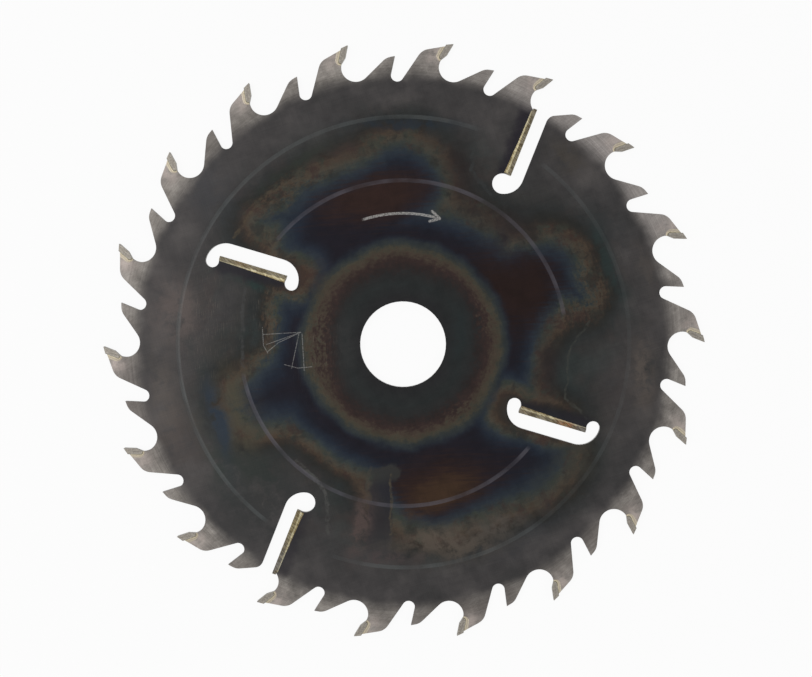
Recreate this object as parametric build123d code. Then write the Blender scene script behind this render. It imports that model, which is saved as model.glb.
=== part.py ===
from build123d import *
import os
from math import cos, radians, sin, sqrt, tan

# Rip-saw blade, lying flat. Sizes are in millimetres and degrees.
# The blade's centre is the origin, the plate's middle plane is z = 0, and the teeth cut clockwise seen from +Z.

# Plate
blade_diameter = 350.0
bore_diameter = 50.0
plate_thickness = 2.5
tooth_count = 18

# Carbide tip, measured down its face from the cutting edge and back from that face
kerf = 4.0
tip_hook = 21.6
tip_top_clearance = 14.0
tip_thickness = 3.4
tip_length = 11.2
tip_face_length = 6.9
tip_foot_setback = 1.6
tip_corner_radius = 1.25
tip_radial_relief = 1.5
tip_tangential_relief = 2.5

# Brazed joints: the film between carbide and steel, and how far it stands proud of the plate
braze_film = 0.15
braze_crown = 0.2

# Steel tooth behind each tip
land_step = 1.1
land_clearance = 18.6
flank_angle = 25.1
shoulder_radius = 8.0

# Gullet in front of each tip
gullet_depth = 21.35
gullet_radius = 8.5

# Plain steel tooth between two tips, placed as a share of the pitch
plain_tooth_share = 0.443
plain_tooth_drop = 8.9
plain_tooth_hook = 13.9
plain_tooth_clearance = 9.3
plain_tooth_back_angle = 47.3
plain_shoulder_radius = 7.8

# The most of a wall that the arc at a shoulder may take up
shoulder_share = 0.9

# Gullet in front of each plain tooth
plain_gullet_depth = 23.5
plain_gullet_radius = 3.7

# Carbide wiper strip
wiper_length = 40.5
wiper_thickness = 2.2
wiper_width = 3.6
wiper_relief = 3.0

# Slots that run out into a gullet. The inner end of the wiper's seat is placed from its tooth's own radius.
open_slot_angle = 60.0
open_slot_width = 9.9
open_slot_lean = 7.9
open_slot_offset = 3.8
open_slot_reach = 59.8
open_relief_radius = 5.9
open_relief_setback = 0.5
open_corner_radius = 11.75
open_shoulder_radius = 5.1

# Slots that are closed at both ends
closed_slot_angle = 160.0
closed_slot_width = 10.8
closed_slot_lean = 3.0
closed_slot_offset = 12.7
closed_slot_reach = 98.2
closed_relief_radius = 3.95
closed_relief_setback = 1.45
closed_corner_radius = 12.0

# Tracks that the tensioning rollers leave, shallow and V-shaped, which stop before and after a slot
track_width = 2.3
track_depth = 0.06
inner_track_radius = 95.0
inner_track_stop_before = 30.5
inner_track_stop_after = 20.0
outer_track_radius = 131.5
outer_track_stop_before = 11.0
outer_track_stop_after = 8.6

pitch = 360 / tooth_count
tip_radius = blade_diameter / 2


def lean(angle):
    """Unit vector that leans clockwise from a tooth's own radius, which is drawn as +Y."""
    return Vector(sin(radians(angle)), cos(radians(angle)))


def at_tooth(index):
    """Turns what is drawn about +Y to the tooth with this number. Tooth 0 lies on +X."""
    return Rot(Z=index * pitch - 90)


def crossing(point, direction, other_point, other_direction):
    """Where two straight lines in the plane cross."""
    gap = other_point - point
    turn = direction.X * other_direction.Y - direction.Y * other_direction.X
    along = (gap.X * other_direction.Y - gap.Y * other_direction.X) / turn
    return point + direction * along


# Places on a carbide tip

face_up = lean(tip_hook)
face_back = lean(tip_hook - 90)
cutting_edge = Vector(0, tip_radius)


def on_tip(down, back):
    """A point so far down the tip's face and so far behind it."""
    return cutting_edge - face_up * down + face_back * back


tip_back_top = tip_thickness * tan(radians(tip_hook + tip_top_clearance))
seat_back = tip_thickness + braze_film
seat_floor = tip_length + braze_film
land_start = tip_back_top + land_step


def tip_profile():
    corners = [
        on_tip(0, 0),
        on_tip(tip_face_length, 0),
        on_tip(tip_length, tip_foot_setback),
        on_tip(tip_length, tip_thickness),
        on_tip(tip_back_top, tip_thickness),
    ]
    return make_face(FilletPolyline(*corners, radius=[0, 0, 0, tip_corner_radius, 0], close=True))


def tip_film_profile():
    """The braze between the tip's back and foot and the steel seat."""
    corners = [
        on_tip(land_start, seat_back),
        on_tip(seat_floor, seat_back),
        on_tip(seat_floor, tip_foot_setback),
        on_tip(tip_length, tip_foot_setback),
        on_tip(tip_length, tip_thickness),
        on_tip(land_start, tip_thickness),
    ]
    radii = [0, tip_corner_radius + braze_film, 0, 0, tip_corner_radius, 0]
    return make_face(FilletPolyline(*corners, radius=radii, close=True))


# Gullets. Each is a circle that the two faces beside it run into at a tangent.

gullet_floor = tip_radius - gullet_depth
ledge_end = on_tip(seat_floor, tip_foot_setback)


def gullet_centre():
    """The gullet's circle starts at the front of the tip's seat."""
    reach = gullet_floor + gullet_radius
    start = ledge_end.length
    along = (reach**2 + start**2 - gullet_radius**2) / (2 * start)
    outward = ledge_end.normalized()
    clockwise = Vector(outward.Y, -outward.X)
    return outward * along + clockwise * sqrt(reach**2 - along**2)


plain_angle = plain_tooth_share * pitch
plain_tip = lean(plain_angle) * (tip_radius - plain_tooth_drop)
plain_face_up = lean(plain_angle + plain_tooth_hook)
plain_back_up = lean(plain_angle + plain_tooth_back_angle)
plain_gullet_floor = tip_radius - plain_gullet_depth


def plain_gullet_centre():
    """The circle touches the plain tooth's face and has its own depth."""
    reach = plain_gullet_floor + plain_gullet_radius
    beside = plain_tip + lean(plain_angle + plain_tooth_hook + 90) * plain_gullet_radius
    along = beside.dot(plain_face_up)
    down = along - sqrt(along**2 - beside.dot(beside) + reach**2)
    return beside - plain_face_up * down


def shoulder_arc(radius, before, corner, after):
    """The radius at a tooth's shoulder, or less where the tooth is too short for it."""
    bend = 180 - (before - corner).get_angle(after - corner)
    shorter_wall = min((before - corner).length, (after - corner).length)
    return min(radius, shoulder_share * shorter_wall / tan(radians(bend / 2)))


def pitch_outline():
    """The plate's rim from the front of one tip's seat, clockwise, to the front of the next."""
    gullet = gullet_centre()
    plain_foot = gullet + lean(plain_angle + plain_tooth_back_angle + 90) * gullet_radius
    plain_top_back = lean(plain_angle - 90 - plain_tooth_clearance)
    plain_shoulder = crossing(plain_foot, plain_back_up, plain_tip, plain_top_back)

    plain_gullet = plain_gullet_centre()
    face_foot = plain_gullet - lean(plain_angle + plain_tooth_hook + 90) * plain_gullet_radius
    flank_foot = plain_gullet + lean(pitch + flank_angle + 90) * plain_gullet_radius
    seat = [
        on_tip(land_start, seat_back).rotate(Axis.Z, -pitch),
        on_tip(seat_floor, seat_back).rotate(Axis.Z, -pitch),
        ledge_end.rotate(Axis.Z, -pitch),
    ]
    land_back = lean(pitch - 90 - land_clearance)
    shoulder = crossing(flank_foot, lean(pitch + flank_angle), seat[0], land_back)

    plain_tooth = [plain_foot, plain_shoulder, plain_tip, face_foot]
    plain_arc = shoulder_arc(plain_shoulder_radius, *plain_tooth[:3])
    tipped_tooth = [flank_foot, shoulder, *seat]
    tipped_arc = shoulder_arc(shoulder_radius, *tipped_tooth[:3])
    return [
        ThreePointArc(ledge_end, gullet.normalized() * gullet_floor, plain_foot),
        FilletPolyline(*plain_tooth, radius=[plain_arc, 0]),
        ThreePointArc(face_foot, plain_gullet.normalized() * plain_gullet_floor, flank_foot),
        FilletPolyline(*tipped_tooth, radius=[tipped_arc, 0, tip_corner_radius + braze_film]),
    ]


# Slots. Each is drawn with the wiper's seat on the Y axis, from 0 outwards, and the free wall on its right.


def open_slot_place():
    start = Pos(open_slot_offset, tip_radius - open_slot_reach)
    return start * Rot(Z=open_slot_lean)


def closed_slot_place():
    start = Pos(closed_slot_offset, tip_radius - closed_slot_reach)
    return start * Rot(Z=closed_slot_lean)


def slot_end(width, relief_radius, relief_setback, corner_radius, seat_end, outward):
    """A relief hole at the end of the seat and an arc from it to the free wall, where it ends."""
    relief_rise = sqrt(relief_radius**2 - relief_setback**2)
    relief = Vector(-relief_setback, seat_end + outward * relief_rise)
    corner_x = width - corner_radius
    corner_rise = sqrt((corner_radius - relief_radius) ** 2 - (corner_x + relief_setback) ** 2)
    corner = Vector(corner_x, relief.Y - outward * corner_rise)
    touch = corner + (relief - corner).normalized() * corner_radius
    wall_end = Vector(width, corner.Y)
    middle = (touch - corner) + (wall_end - corner)
    relief_arc = ThreePointArc((0, seat_end), relief - Vector(relief_radius, 0), touch)
    corner_arc = ThreePointArc(touch, corner + middle.normalized() * corner_radius, wall_end)
    return relief_arc.edges() + corner_arc.edges(), wall_end


def closed_slot():
    form = (closed_slot_width, closed_relief_radius, closed_relief_setback, closed_corner_radius)
    inner_arcs, inner_wall = slot_end(*form, 0, -1)
    outer_arcs, outer_wall = slot_end(*form, wiper_length, 1)
    seat = Line((0, 0), (0, wiper_length))
    free_wall = Line(inner_wall, outer_wall)
    return make_face(inner_arcs + outer_arcs + seat.edges() + free_wall.edges())


def open_slot():
    """Runs out past the seat into the empty middle of the gullet."""
    form = (open_slot_width, open_relief_radius, open_relief_setback, open_corner_radius)
    inner_arcs, inner_wall = slot_end(*form, 0, -1)
    mouth = (open_slot_place().inverse() * Pos(*gullet_centre())).position.Y
    walls = Polyline((0, 0), (0, mouth), (open_slot_width, mouth), inner_wall)
    return make_face(inner_arcs + walls.edges())


def open_slot_shoulder():
    """The sharp corner between the slot's free wall and the back of the plain tooth."""
    place = open_slot_place()
    wall_point = (place * Pos(open_slot_width, 0)).position
    plain_foot = gullet_centre() + lean(plain_angle + plain_tooth_back_angle + 90) * gullet_radius
    return crossing(wall_point, lean(-open_slot_lean), plain_foot, plain_back_up)


def tooth_at(angle):
    return round(angle / pitch)


open_slot_teeth = [tooth_at(open_slot_angle), tooth_at(open_slot_angle + 180)]
closed_slot_teeth = [tooth_at(closed_slot_angle), tooth_at(closed_slot_angle + 180)]


def roller_track(radius, first_angle, last_angle):
    """A shallow V rolled into both faces of the plate."""
    half = track_width / 2
    surface = plate_thickness / 2
    turn = last_angle - first_angle
    section = make_face(
        Polyline(
            (radius - half, 0, surface),
            (radius, 0, surface - track_depth),
            (radius + half, 0, surface),
            close=True,
        )
    )
    groove = revolve(section, Axis.Z, revolution_arc=turn)
    turned = Rot(Z=first_angle) * groove
    return [turned, mirror(turned, about=Plane.XY)]


def roller_tracks():
    tracks = []
    for half_turn in (0, 180):
        inner_first = closed_slot_angle + inner_track_stop_before - 180 + half_turn
        inner_last = closed_slot_angle - inner_track_stop_after + half_turn
        tracks += roller_track(inner_track_radius, inner_first, inner_last)
        outer_first = open_slot_angle + outer_track_stop_before + half_turn
        outer_last = open_slot_angle + 180 - outer_track_stop_after + half_turn
        tracks += roller_track(outer_track_radius, outer_first, outer_last)
    return tracks


def plate():
    rim = []
    for index in range(tooth_count):
        for piece in pitch_outline():
            rim += (at_tooth(index) * piece).edges()
    blank = make_face(Wire(rim)) - Circle(bore_diameter / 2)
    for tooth in closed_slot_teeth:
        blank -= at_tooth(tooth) * closed_slot_place() * closed_slot()
    for tooth in open_slot_teeth:
        blank -= at_tooth(tooth) * open_slot_place() * open_slot()
        corner = (at_tooth(tooth) * Pos(*open_slot_shoulder())).position
        nearest = blank.vertices().sort_by_distance(corner)[0]
        blank = fillet(nearest, open_shoulder_radius)
    body = extrude(blank, plate_thickness / 2, both=True)
    for track in roller_tracks():
        body -= track
    return body


def relieve(solid, edge, half_width, slope_back, slope_down):
    """Tilts both side faces, so that the solid is widest at its cutting edge."""
    back = tan(radians(slope_back))
    down = tan(radians(slope_down))
    upper = Plane(origin=(edge.X, edge.Y, half_width), z_dir=(-back, -down, 1))
    lower = Plane(origin=(edge.X, edge.Y, -half_width), z_dir=(back, down, 1))
    solid = split(solid, bisect_by=upper, keep=Keep.BOTTOM)
    return split(solid, bisect_by=lower, keep=Keep.TOP)


def tooth_tip():
    blank = extrude(tip_profile(), kerf / 2, both=True)
    return relieve(blank, cutting_edge, kerf / 2, tip_tangential_relief, tip_radial_relief)


def tip_braze():
    return extrude(tip_film_profile(), plate_thickness / 2 + braze_crown, both=True)


def wiper():
    """Drawn in the slot's own frame, behind its braze film, with its cutting edge on the right."""
    front = braze_film + wiper_thickness
    section = Pos(braze_film, 0) * Rectangle(wiper_thickness, wiper_length, align=(Align.MIN, Align.MIN))
    blank = extrude(section, wiper_width / 2, both=True)
    return relieve(blank, Vector(front, 0), wiper_width / 2, wiper_relief, 0)


def wiper_braze(end_cut=None):
    film = Rectangle(braze_film, wiper_length, align=(Align.MIN, Align.MIN))
    if end_cut is not None:
        film -= end_cut
    return extrude(film, plate_thickness / 2 + braze_crown, both=True)


def open_wiper_braze():
    """On an open slot the seat ends where the gullet's arc crosses it."""
    gullet = open_slot_place().inverse() * Pos(*gullet_centre()) * Circle(gullet_radius)
    return wiper_braze(gullet)


os.makedirs("parts", exist_ok=True)


def save(shape, name):
    export_step(shape, f"parts/{name}.step")


save(plate(), "plate")

tip = tooth_tip()
tip_joint = tip_braze()
for index in range(tooth_count):
    save(at_tooth(index) * tip, f"tooth_tip_{index + 1:02d}")
    save(at_tooth(index) * tip_joint, f"tip_braze_{index + 1:02d}")

slot_places = [(tooth, open_slot_place(), open_wiper_braze()) for tooth in open_slot_teeth]
slot_places += [(tooth, closed_slot_place(), wiper_braze()) for tooth in closed_slot_teeth]
strip = wiper()
for number, (tooth, place, joint) in enumerate(slot_places, start=1):
    save(at_tooth(tooth) * place * strip, f"wiper_{number}")
    save(at_tooth(tooth) * place * joint, f"wiper_braze_{number}")
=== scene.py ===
import random
from math import cos, pi, radians, sin

import bmesh
import bpy
from mathutils import Euler, Matrix, Vector


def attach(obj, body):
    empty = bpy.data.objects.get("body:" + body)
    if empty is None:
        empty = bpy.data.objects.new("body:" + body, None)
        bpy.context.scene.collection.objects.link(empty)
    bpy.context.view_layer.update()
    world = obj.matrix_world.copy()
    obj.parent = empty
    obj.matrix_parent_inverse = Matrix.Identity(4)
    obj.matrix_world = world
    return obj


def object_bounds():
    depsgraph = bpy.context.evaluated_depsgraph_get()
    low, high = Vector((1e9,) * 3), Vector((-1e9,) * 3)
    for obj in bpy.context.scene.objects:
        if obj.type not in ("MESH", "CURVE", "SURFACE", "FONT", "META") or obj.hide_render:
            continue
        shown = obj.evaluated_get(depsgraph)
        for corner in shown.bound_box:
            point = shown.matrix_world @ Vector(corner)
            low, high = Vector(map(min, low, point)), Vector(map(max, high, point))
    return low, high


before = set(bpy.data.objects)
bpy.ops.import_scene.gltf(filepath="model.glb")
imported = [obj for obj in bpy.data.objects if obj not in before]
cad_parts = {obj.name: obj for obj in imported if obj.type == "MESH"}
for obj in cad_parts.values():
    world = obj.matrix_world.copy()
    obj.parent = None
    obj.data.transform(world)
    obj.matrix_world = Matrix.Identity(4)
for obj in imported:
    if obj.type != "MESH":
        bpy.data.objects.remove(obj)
cad_low, cad_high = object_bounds()

# Camera and studio
# The camera hangs 700 mm over the blade, a few degrees off the bore's axis.
# The blade lies on a white floor under one wide lamp and a weaker one from the side.
camera_turn = Euler((radians(-3.24), radians(0.8), radians(-0.48)))
camera_stand_off = Vector((0.00173, 0.00335, 0.7))
camera_data = bpy.data.cameras.new("camera")
camera_data.sensor_width = 36
camera_data.lens = 53.2
camera = bpy.data.objects.new("camera", camera_data)
camera.rotation_euler = camera_turn
camera.location = camera_turn.to_matrix() @ camera_stand_off
bpy.context.collection.objects.link(camera)
bpy.context.scene.camera = camera
bpy.context.scene.view_settings.view_transform = "Standard"


def add_node(tree, kind, inputs=(), **settings):
    """A node with its settings. An input is a value, or another node's output to link."""
    node = tree.nodes.new(kind)
    for name, value in settings.items():
        setattr(node, name, value)
    for name, value in dict(inputs).items():
        if isinstance(value, bpy.types.NodeSocket):
            tree.links.new(value, node.inputs[name])
        else:
            node.inputs[name].default_value = value
    return node


def sum_of(tree, operation, *values):
    """One sum on values or outputs."""
    return add_node(tree, "ShaderNodeMath", enumerate(values), operation=operation).outputs[0]


def seen_directly(tree):
    """1 for what is seen, also in a reflection or through glass, and 0 for the light on a thing."""
    path = add_node(tree, "ShaderNodeLightPath")
    seen = sum_of(tree, "MAXIMUM", path.outputs["Is Camera Ray"], path.outputs["Is Glossy Ray"])
    return sum_of(tree, "MAXIMUM", seen, path.outputs["Is Transmission Ray"])


floor_size = 4
floor_glow = 0.93
bpy.ops.object.select_all(action="DESELECT")
bpy.ops.mesh.primitive_plane_add(size=floor_size, location=(0, 0, cad_low.z))
floor = bpy.context.active_object
floor.name = "floor"
floor_material = bpy.data.materials.new("floor_white")
floor_material.use_nodes = True
tree = floor_material.node_tree
tree.nodes.clear()
paper = add_node(tree, "ShaderNodeBsdfDiffuse", {"Color": (0.9, 0.9, 0.9, 1)})
white = add_node(tree, "ShaderNodeEmission", {"Strength": 1.0})
share = sum_of(tree, "MULTIPLY", seen_directly(tree), floor_glow)
floor_shader = add_node(tree, "ShaderNodeMixShader", {0: share, 1: paper.outputs[0], 2: white.outputs[0]})
add_node(tree, "ShaderNodeOutputMaterial", {"Surface": floor_shader.outputs[0]})
floor.data.materials.append(floor_material)

sky_on_things = 0.44
world = bpy.data.worlds.new("studio")
world.use_nodes = True
bpy.context.scene.world = world
tree = world.node_tree
tree.nodes.clear()
sky = add_node(tree, "ShaderNodeMapRange", {0: seen_directly(tree), 3: sky_on_things, 4: 1.0})
background = add_node(tree, "ShaderNodeBackground", {"Color": (1, 1, 1, 1), "Strength": sky.outputs[0]})
add_node(tree, "ShaderNodeOutputWorld", {"Surface": background.outputs[0]})


def lamp(name, place, power, size):
    """A square lamp that points at the middle of the blade."""
    data = bpy.data.lights.new(name, "AREA")
    data.energy = power
    data.size = size
    light = bpy.data.objects.new(name, data)
    light.location = place
    light.rotation_euler = (-Vector(place)).to_track_quat("-Z", "Y").to_euler()
    bpy.context.collection.objects.link(light)


lamp("wide_lamp", place=(-1.1, 0.0, 1.4), power=8.5, size=1.2)
lamp("side_lamp", place=(1.1, -0.5, 0.9), power=2.0, size=0.6)

# Plate
# The plate is saw steel, 2.5 mm thick, cut to shape, hardened and ground flat on both faces.
# Heat from tensioning and hardening has left temper colours in bands round the bore and out towards the rim.
# The rim is ground again beside the teeth, and rollers have left two tracks on each face.
millimetre = 0.001
blade_radius = cad_high.x / millimetre
plate_top = 1.25


def tone(red, green, blue):
    """A shader's colour that looks like this one, from 0 to 255, under the studio's light."""
    studio_light = 1.2
    linear = [(level / 255) ** 2.2 / studio_light for level in (red, green, blue)]
    return (*linear, 1)


def smooth_step(tree, value, start, end, low=0.0, high=1.0):
    """Runs from low to high while the value runs from start to end."""
    inputs = {0: value, 1: start, 2: end, 3: low, 4: high}
    return add_node(tree, "ShaderNodeMapRange", inputs, interpolation_type="SMOOTHSTEP").outputs[0]


def run_of(tree, value, start, end):
    """Runs evenly from 0 to 1 while the value runs from start to end."""
    return add_node(tree, "ShaderNodeMapRange", {0: value, 1: start, 2: end}).outputs[0]


def mix(tree, share, first, second, kind="MIX"):
    """The first colour, blended towards the second."""
    settings = {"data_type": "RGBA", "blend_type": kind}
    return add_node(tree, "ShaderNodeMix", {0: share, 6: first, 7: second}, **settings).outputs[2]


def noise(tree, place, size, detail=2.0, roughness=0.5):
    """Soft noise from 0 to 1, with grains of about this size."""
    inputs = {"Vector": place, "Scale": 1 / size, "Detail": detail, "Roughness": roughness}
    return add_node(tree, "ShaderNodeTexNoise", inputs).outputs[0]


def ramp(tree, value, stops):
    """Colours along a value."""
    node = add_node(tree, "ShaderNodeValToRGB", {0: value})
    elements = node.color_ramp.elements
    elements[0].position, elements[0].color = stops[0]
    elements[1].position, elements[1].color = stops[-1]
    for position, colour in stops[1:-1]:
        elements.new(position).color = colour
    return node.outputs[0]


def effect(name, inputs, outputs):
    """A new node group with these sockets, its tree, and the outputs of its input node by name."""
    tree = bpy.data.node_groups.new(name, "ShaderNodeTree")
    for socket, (kind, value) in inputs.items():
        item = tree.interface.new_socket(socket, in_out="INPUT", socket_type=kind)
        item.default_value = value
    for socket, kind in outputs.items():
        tree.interface.new_socket(socket, in_out="OUTPUT", socket_type=kind)
    return tree, tree.nodes.new("NodeGroupInput").outputs


def use(tree, group, inputs):
    """Places a node group in a tree."""
    node = tree.nodes.new("ShaderNodeGroup")
    node.node_tree = group
    for name, value in inputs.items():
        if isinstance(value, bpy.types.NodeSocket):
            tree.links.new(value, node.inputs[name])
        else:
            node.inputs[name].default_value = value
    return node.outputs


def give(tree, **values):
    """Links a group's results to its output node."""
    add_node(tree, "NodeGroupOutput", {name.replace("_", " "): value for name, value in values.items()})


def vector_sum(tree, operation, *values):
    """One sum on vectors or outputs."""
    return add_node(tree, "ShaderNodeVectorMath", enumerate(values), operation=operation).outputs


def scaled_by(tree, vector, factor):
    """A vector times a value or an output."""
    return add_node(tree, "ShaderNodeVectorMath", {0: vector, "Scale": factor}, operation="SCALE").outputs[0]


def turned_by(tree, vector, angle):
    """A vector turned about the bore's axis."""
    inputs = {"Vector": vector, "Angle": angle}
    return add_node(tree, "ShaderNodeVectorRotate", inputs, rotation_type="Z_AXIS").outputs[0]


def turned_back(tree, vector, angle):
    """A vector turned by this output the other way."""
    return turned_by(tree, vector, sum_of(tree, "MULTIPLY", angle, -1))


def parts_of(tree, vector):
    """A vector's X, Y and Z."""
    return add_node(tree, "ShaderNodeSeparateXYZ", {0: vector}).outputs


FLOAT = "NodeSocketFloat"
VECTOR = "NodeSocketVector"
ORIGIN = (VECTOR, (0, 0, 0))


def nearest_on_run(tree, given):
    """The point on a run that lies nearest, as a share of the run, and how far off it is."""
    away = vector_sum(tree, "SUBTRACT", given["Place"], given["Start"])[0]
    done = vector_sum(tree, "DOT_PRODUCT", away, given["Run"])["Value"]
    whole = vector_sum(tree, "DOT_PRODUCT", given["Run"], given["Run"])["Value"]
    part = add_node(tree, "ShaderNodeMath", {0: done, 1: whole}, operation="DIVIDE", use_clamp=True)
    rest = vector_sum(tree, "SUBTRACT", away, scaled_by(tree, given["Run"], part.outputs[0]))[0]
    return part.outputs[0], vector_sum(tree, "LENGTH", rest)["Value"]


# A streak of heat between two points. Its depth is in millimetres, from its edge inwards.
heat_streak, given = effect(
    "Heat streak",
    {
        "Place": ORIGIN,
        "Start": ORIGIN,
        "Run": (VECTOR, (10, 0, 0)),
        "Start radius": (FLOAT, 10.0),
        "End radius": (FLOAT, 10.0),
    },
    {"Depth": FLOAT},
)
share, gap = nearest_on_run(heat_streak, given)
growth = sum_of(heat_streak, "SUBTRACT", given["End radius"], given["Start radius"])
radius = sum_of(heat_streak, "MULTIPLY_ADD", growth, share, given["Start radius"])
give(heat_streak, Depth=sum_of(heat_streak, "SUBTRACT", radius, gap))

# An oval stain: full at its middle, fading outwards.
oval_stain, given = effect(
    "Oval stain",
    {
        "Place": ORIGIN,
        "Middle": ORIGIN,
        "Half sizes": (VECTOR, (20, 20, 1000)),
        "Turn": (FLOAT, 0.0),
    },
    {"Mask": FLOAT},
)
away = vector_sum(oval_stain, "SUBTRACT", given["Place"], given["Middle"])[0]
turned = turned_back(oval_stain, away, given["Turn"])
share = vector_sum(oval_stain, "DIVIDE", turned, given["Half sizes"])[0]
squared = vector_sum(oval_stain, "DOT_PRODUCT", share, share)["Value"]
give(oval_stain, Mask=sum_of(oval_stain, "EXPONENT", sum_of(oval_stain, "MULTIPLY", squared, -1)))

# A band of one width along an arc about the bore, such as a roller's track.
arc_band, given = effect(
    "Arc band",
    {
        "Place": ORIGIN,
        "Radius": (FLOAT, 95.0),
        "Width": (FLOAT, 2.0),
        "Middle angle": (FLOAT, 0.0),
        "Half angle": (FLOAT, 1.0),
    },
    {"Mask": FLOAT},
)
reach = vector_sum(arc_band, "LENGTH", given["Place"])["Value"]
off = sum_of(arc_band, "ABSOLUTE", sum_of(arc_band, "SUBTRACT", reach, given["Radius"]))
across = sum_of(arc_band, "DIVIDE", off, given["Width"])
beside = smooth_step(arc_band, across, 0.4, 0.6, 1, 0)
parts = parts_of(arc_band, turned_back(arc_band, given["Place"], given["Middle angle"]))
angle = sum_of(arc_band, "ABSOLUTE", sum_of(arc_band, "ARCTAN2", parts["Y"], parts["X"]))
past = sum_of(arc_band, "SUBTRACT", angle, given["Half angle"])
along = smooth_step(arc_band, past, -0.02, 0.02, 1, 0)
give(arc_band, Mask=sum_of(arc_band, "MULTIPLY", beside, along))

# A thin line etched from one point to another.
etched_line, given = effect(
    "Etched line",
    {
        "Place": ORIGIN,
        "Start": ORIGIN,
        "Run": (VECTOR, (10, 0, 0)),
        "Width": (FLOAT, 0.5),
    },
    {"Mask": FLOAT},
)
gap = nearest_on_run(etched_line, given)[1]
across = sum_of(etched_line, "DIVIDE", gap, given["Width"])
give(etched_line, Mask=smooth_step(etched_line, across, 0.3, 0.7, 1, 0))

# Fine parallel marks of a grinding wheel.
grinding, given = effect(
    "Grinding marks",
    {
        "Place": ORIGIN,
        "Turn": (FLOAT, 0.0),
        "Length": (FLOAT, 12.0),
        "Spacing": (FLOAT, 0.25),
    },
    {"Shade": FLOAT},
)
turned = turned_back(grinding, given["Place"], given["Turn"])
size = add_node(grinding, "ShaderNodeCombineXYZ", {0: given["Length"], 1: given["Spacing"], 2: 1.0})
streaks = vector_sum(grinding, "DIVIDE", turned, size.outputs[0])[0]
give(grinding, Shade=noise(grinding, streaks, 1.0, 3.0, 0.6))

# Uneven marks that run round the bore.
ring_marks, given = effect(
    "Ring marks",
    {
        "Place": ORIGIN,
        "Length": (FLOAT, 8.0),
        "Width": (FLOAT, 1.6),
    },
    {"Shade": FLOAT},
)
reach = vector_sum(ring_marks, "LENGTH", given["Place"])["Value"]
outwards = vector_sum(ring_marks, "NORMALIZE", given["Place"])[0]
round_scale = sum_of(ring_marks, "DIVIDE", 80.0, given["Length"])
around = scaled_by(ring_marks, outwards, round_scale)
lanes = sum_of(ring_marks, "DIVIDE", reach, given["Width"])
across = add_node(ring_marks, "ShaderNodeCombineXYZ", {2: lanes})
marks = vector_sum(ring_marks, "ADD", around, across.outputs[0])[0]
give(ring_marks, Shade=noise(ring_marks, marks, 1.0, 4.0, 0.6))

# A place folded back to the first tooth, for what is the same at each tipped tooth.
tooth_count = 18
pitch = 2 * pi / tooth_count
first_tooth, given = effect("First tooth", {"Place": ORIGIN}, {"Folded": VECTOR})
parts = parts_of(first_tooth, given["Place"])
angle = sum_of(first_tooth, "ARCTAN2", parts["Y"], parts["X"])
tooth_turn = sum_of(first_tooth, "ROUND", sum_of(first_tooth, "DIVIDE", angle, pitch))
back = sum_of(first_tooth, "MULTIPLY", tooth_turn, -pitch)
give(first_tooth, Folded=turned_by(first_tooth, given["Place"], back))


def new_material(name):
    """An empty node material, its tree, its Principled shader, and places on the piece in millimetres."""
    material = bpy.data.materials.new(name)
    material.use_nodes = True
    tree = material.node_tree
    tree.nodes.clear()
    shader = add_node(tree, "ShaderNodeBsdfPrincipled")
    add_node(tree, "ShaderNodeOutputMaterial", {"Surface": shader.outputs[0]})
    place = scaled_by(tree, add_node(tree, "ShaderNodeTexCoord").outputs["Object"], 1 / millimetre)
    return material, tree, shader, place


def give_surface(tree, shader, colour, metallic, roughness):
    """The shader's colour and how metallic and rough it is. The roughness may be an output."""
    tree.links.new(colour, shader.inputs["Base Color"])
    shader.inputs["Metallic"].default_value = metallic
    if isinstance(roughness, bpy.types.NodeSocket):
        tree.links.new(roughness, shader.inputs["Roughness"])
    else:
        shader.inputs["Roughness"].default_value = roughness


def give_relief(tree, shader, height, depth):
    """Fine relief: the height runs from 0 to 1, over this many millimetres."""
    bump = add_node(tree, "ShaderNodeBump", {"Distance": depth * millimetre, "Height": height})
    tree.links.new(bump.outputs[0], shader.inputs["Normal"])


def cover(piece, material):
    """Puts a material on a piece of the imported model, in place of its plain one."""
    piece.data.materials.clear()
    piece.data.materials.append(material)


def oval(tree, where, middle, half_sizes, turn=0):
    """An oval stain's mask on the plate, turned by this many degrees."""
    form = {"Middle": (*middle, 0), "Half sizes": (*half_sizes, 1000), "Turn": radians(turn)}
    return use(tree, oval_stain, {"Place": where, **form})["Mask"]


def strongest(tree, least, where, forms):
    """The strongest of some oval stains at each place, and never under this least."""
    for form in forms:
        least = sum_of(tree, "MAXIMUM", least, oval(tree, where, *form))
    return least


def ragged(tree, mask, edge, most):
    """A stain's mask with a ragged edge and an even middle, at most this strong."""
    rough = sum_of(tree, "MULTIPLY", sum_of(tree, "MULTIPLY", mask, edge), most * 1.5)
    return sum_of(tree, "MINIMUM", rough, most)


def from_to(start, end):
    """A node's start and run, from one place on the plate to another."""
    return {"Start": (*start, 0), "Run": (end[0] - start[0], end[1] - start[1], 0)}


def line(tree, where, start, end, width):
    """The mask of a line from one place on the plate to another."""
    return use(tree, etched_line, {"Place": where, "Width": width, **from_to(start, end)})["Mask"]


def ground(tree, where, turn, length, spacing):
    """The shade of a grinding wheel's marks, which lie at this turn."""
    form = {"Place": where, "Turn": turn, "Length": length, "Spacing": spacing}
    return use(tree, grinding, form)["Shade"]


def tones_along(tree, value, colours):
    """Colours along a value, which runs from the first colour's place to the last one's."""
    first, last = colours[0][0], colours[-1][0]
    stops = [((at - first) / (last - first), tone(*colour)) for at, colour in colours]
    return ramp(tree, run_of(tree, value, first, last), stops)


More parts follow.
